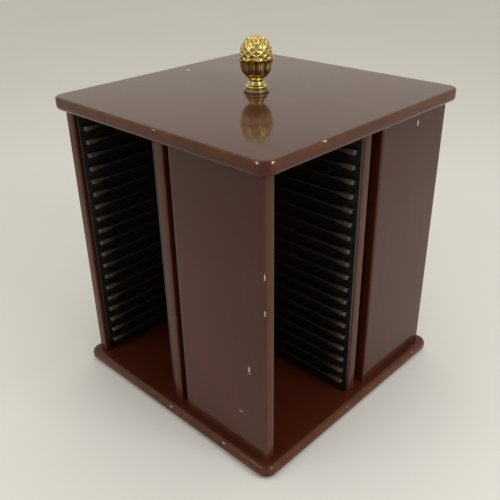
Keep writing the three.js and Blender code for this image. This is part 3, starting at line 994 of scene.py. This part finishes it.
def rivet():
    """Hollow rivet, its two flanges rolled over the plates."""
    low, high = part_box("bearing_rivet")
    tall = (high.z - low.z) / MM
    half = RIVET_HALF_SHEET
    profile = [(RIVET_INNER, half), (RIVET_INNER + half, 0)]
    profile += arc(RIVET_FLANGE - half, half, half, -90, 90)
    profile += [(RIVET_OUTER, half * 2), (RIVET_OUTER, tall - half * 2)]
    profile += arc(RIVET_FLANGE - half, tall - half, half, -90, 90)
    profile += [(RIVET_INNER + half, tall), (RIVET_INNER, tall - half), (RIVET_INNER, half)]
    made = turned("swivel_rivet", to_metres(profile, low.z))
    smooth(made, 50)
    finish_piece(made, "steel", "zinc_steel", "foot", "bearing_rivet")


def feet():
    """Push-in rubber feet: a pad with a hollowed sole, a neck and a bulb."""
    low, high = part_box("foot_front")
    middle = (low + high) / 2
    radius = (high.x - low.x) / 2 / MM
    tall = (high.z - low.z) / MM
    plate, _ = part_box("bearing_lower_plate")
    pad = plate.z / MM - FOOT_GAP
    profile = [(0, 0.6), (radius * 0.55, 0.5), (radius * 0.62, 0)]
    profile += arc(radius - 0.7, 0.7, 0.7, -90, 0)
    profile += arc(radius - 0.5, pad - 0.5, 0.5, 0, 90)
    profile += [(FOOT_NECK, pad), (FOOT_NECK, tall - 1.3), (FOOT_BULB, tall - 1.3)]
    profile += [(FOOT_BULB, tall - 1), (FOOT_NECK, tall), (0, tall)]
    original = turned("pad", to_metres(profile), 48)
    for turn, face in enumerate(FACES):
        place = Matrix.Rotation(turn * QUARTER, 4, "Z") @ Matrix.Translation((middle.x, middle.y, 0))
        pad_piece = copied(original, f"rubber_foot_{face}", place)
        smooth(pad_piece)
        finish_piece(pad_piece, "rubber", "rubber", "foot", f"foot_{face}")
    bpy.data.objects.remove(original)


def wood_screws():
    """Countersunk screws with a cross recess, seen in the underside of the base."""
    low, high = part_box("base_screw_front_1")
    radius = (high.x - low.x) / 2 / MM
    tall = (high.z - low.z) / MM
    profile = [(0, 0), (radius - 0.2, 0), (radius, 0.25)]
    profile += [(SCREW_SHANK, 2.6), (SCREW_SHANK, tall - 3), (0.3, tall), (0, tall)]
    original = turned("wood_screw", to_metres(profile), 32)
    cross = (CROSS_HALF_LENGTH, CROSS_HALF_WIDTH)
    for across, along in (cross, reversed(cross)):
        slot = block("slot", (-across * MM, -along * MM, -MM), (across * MM, along * MM, CROSS_DEPTH * MM))
        cut(original, slot)
    smooth(original)
    for face in FACES:
        for i in (1, 2, 3):
            node = f"base_screw_{face}_{i}"
            screw_low, screw_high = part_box(node)
            middle = (screw_low + screw_high) / 2
            turn = Matrix.Rotation(i + len(face), 4, "Z")
            place = Matrix.Translation((middle.x, middle.y, screw_low.z)) @ turn
            screw = copied(original, f"wood_screw_{face}_{i}", place)
            finish_piece(screw, "steel", "zinc_steel", "tower", node)
    bpy.data.objects.remove(original)


def swivel():
    _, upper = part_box("bearing_upper_plate")
    lower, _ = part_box("bearing_lower_plate")
    swivel_plate("swivel_upper", "bearing_upper_plate", "tower", upper.z, 1)
    swivel_plate("swivel_lower", "bearing_lower_plate", "foot", lower.z, -1)
    rivet()
    feet()
    wood_screws()


# Everything on the four faces


def around():
    """The walls and racks of the front face, and their copies round the other three."""
    panel = wall("panel_front", "side_panel_front", every_edge, from_outer_end)
    divider = wall("partition_front", "divider_front", front_edge, from_either_end)
    left = rack()
    rack_low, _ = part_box("rack_front_left")
    _, rack_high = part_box("rack_front_right")
    middle = Matrix.Translation((rack_low.x + rack_high.x, 0, 0))
    right = copied(left, "slots_front_right", middle @ Matrix.Scale(-1, 4, (1, 0, 0)))
    kinds = (
        (panel, "panel_{}", "upright", "mahogany", "side_panel_{}"),
        (divider, "partition_{}", "upright", "mahogany", "divider_{}"),
        (left, "slots_{}_left", "rack", "rack_plastic", "rack_{}_left"),
        (right, "slots_{}_right", "rack", "rack_plastic", "rack_{}_right"),
    )
    for original, name, finish, slot, node in kinds:
        for turn, face in enumerate(FACES):
            piece = original
            if turn:
                piece = copied(original, name.format(face), Matrix.Rotation(turn * QUARTER, 4, "Z"))
            finish_piece(piece, finish, slot, "tower", node.format(face))


def dress_frame():
    """Finishes on the CAD nodes that stay."""
    words = {"bearing_screw": "steel", "ball_ring": "steel", "finial_stud": "steel", "top_dowel": "beech"}
    for name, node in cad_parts.items():
        for start, finish in words.items():
            if name.startswith(start):
                node.data.materials.clear()
                node.data.materials.append(finishes[finish])


# Studio

FLOOR_SIZE = 14
FLOOR_COLOUR = (0.72, 0.705, 0.68)
ROOM_COLOUR = (0.71, 0.68, 0.605)


def floor():
    deselect()
    bpy.ops.mesh.primitive_plane_add(size=FLOOR_SIZE)
    ground = bpy.context.object
    ground.name = "floor"
    finish, tree, shader = new_finish("floor_paper")
    tone = noise(tree, object_place(tree), 3.0, 2.0)
    shade = [channel * 0.985 for channel in FLOOR_COLOUR]
    colour = blend_colour(tree, between(tree, tone, 0.3, 0.7), FLOOR_COLOUR, shade)
    tree.links.new(colour, shader.inputs["Base Color"])
    set_shader(shader, {"Roughness": 0.9, "Specular IOR Level": 0.1})
    ground.data.materials.append(finish)


# Name, place, aim, side and radiance
LAMPS = (
    ("left_lamp", (-0.35, -1.25, 1.25), (0.15, -0.15, 0), 0.7, 3.0),
    ("overhead_lamp", (-0.15, 0.2, 1.5), (0, 0, 0), 0.9, 1.2),
    ("right_lamp", (1.4, 0.1, 1.15), (0.15, -0.1, 0), 0.7, 7.0),
)


def lamp(name, place, aim, side, radiance):
    """A soft square lamp that faces its aim."""
    data = bpy.data.lights.new(name, "AREA")
    data.shape = "SQUARE"
    data.size = side
    data.energy = radiance * math.pi * side**2
    made = bpy.data.objects.new(name, data)
    made.location = place
    made.rotation_mode = "QUATERNION"
    made.rotation_quaternion = (Vector(aim) - Vector(place)).to_track_quat("-Z", "Y")
    bpy.context.scene.collection.objects.link(made)


def room_light():
    """Even light from pale walls all round."""
    world = bpy.data.worlds.new("room")
    bpy.context.scene.world = world
    world.use_nodes = True
    tree = world.node_tree
    tree.nodes.clear()
    light = add(tree, "Background", {"Color": (*ROOM_COLOUR, 1), "Strength": 1.0})
    add(tree, "OutputWorld", {"Surface": light.outputs[0]})


def camera():
    azimuth, pitch, roll = (math.radians(a) for a in (CAMERA_AZIMUTH, CAMERA_PITCH, CAMERA_ROLL))
    level_ahead = Vector((-math.sin(azimuth), math.cos(azimuth), 0))
    ahead = level_ahead * math.cos(pitch) - Vector((0, 0, math.sin(pitch)))
    right = Vector((math.cos(azimuth), math.sin(azimuth), 0))
    up = right.cross(ahead)
    right_rolled = right * math.cos(roll) + up * math.sin(roll)
    up_rolled = up * math.cos(roll) - right * math.sin(roll)
    data = bpy.data.cameras.new("camera")
    data.lens = CAMERA_LENS
    data.sensor_width = SENSOR
    made = bpy.data.objects.new("camera", data)
    turn = Matrix((right_rolled, up_rolled, -ahead)).transposed()
    made.matrix_world = Matrix.Translation(CAMERA_PLACE) @ turn.to_4x4()
    bpy.context.scene.collection.objects.link(made)
    bpy.context.scene.camera = made


camera()
floor()
room_light()
for values in LAMPS:
    lamp(*values)
bpy.context.scene.view_settings.view_transform = "Standard"

top_slab()
base_slab()
around()
finial()
finial_disc()
swivel()
dress_frame()
